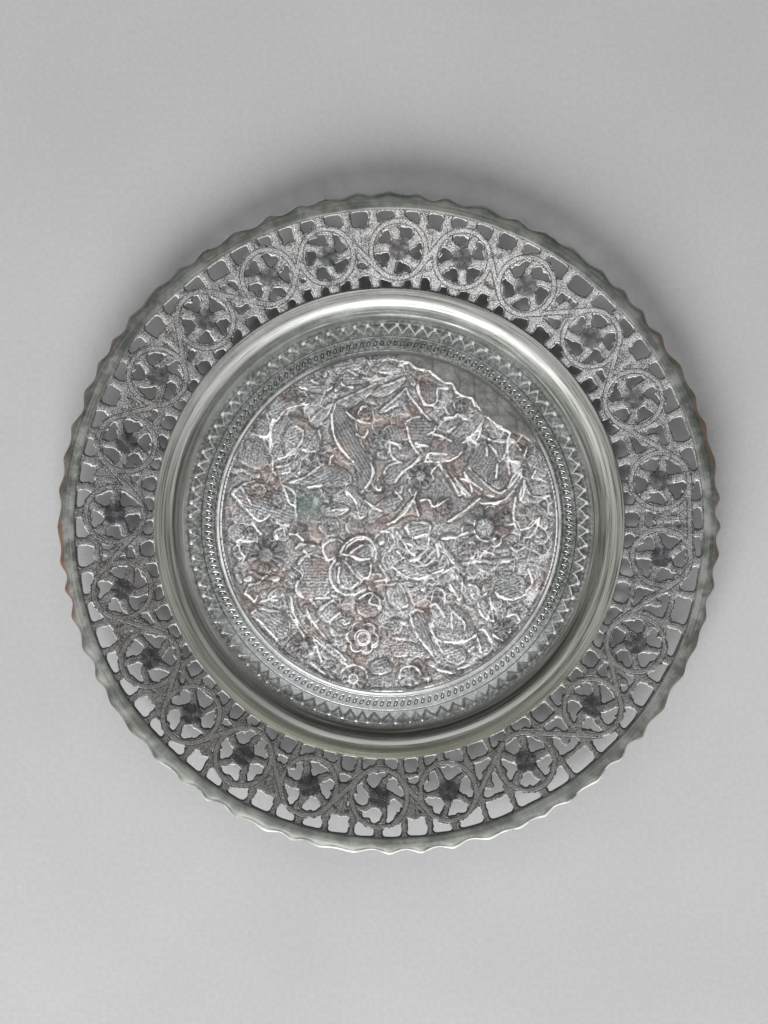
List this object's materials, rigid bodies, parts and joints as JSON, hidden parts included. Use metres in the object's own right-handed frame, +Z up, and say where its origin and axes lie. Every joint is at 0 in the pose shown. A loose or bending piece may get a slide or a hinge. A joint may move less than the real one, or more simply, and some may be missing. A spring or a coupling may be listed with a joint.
{
  "type": "round serving tray",
  "caption": "Round tinned-copper serving tray with a sunk chased centre, a raised ledge, a pierced scrollwork gallery rising outwards and a scalloped rim.",
  "frame": {"origin": "middle of the flat underside that the tray stands on", "axes": "+Z up out of the tray, +X to the right and +Y to the top of the picture, which looks straight down"},
  "size_m": [0.33, 0.33, 0.0262],
  "materials": {
    "pan": "worn tin over copper, satin, with turning scratches and grey-green patina",
    "medallion": "chased and punched, bright rubbed tin on the raised lines, pinkish copper in the sunk ground",
    "gallery": "sawn and engraved, dull grey tin with dark patina in the engraving",
    "rim": "grey-green patina, worn to brown copper at the scalloped lip",
    "solder": "smooth dull tin solder"
  },
  "bodies": {
    "root": {"pan": "pan", "medallion_disc": "medallion", "medallion_solder": "solder", "gallery": "gallery", "gallery_solder": "solder", "scalloped_rim": "rim", "rim_solder": "solder"}
  },
  "joints": []
}
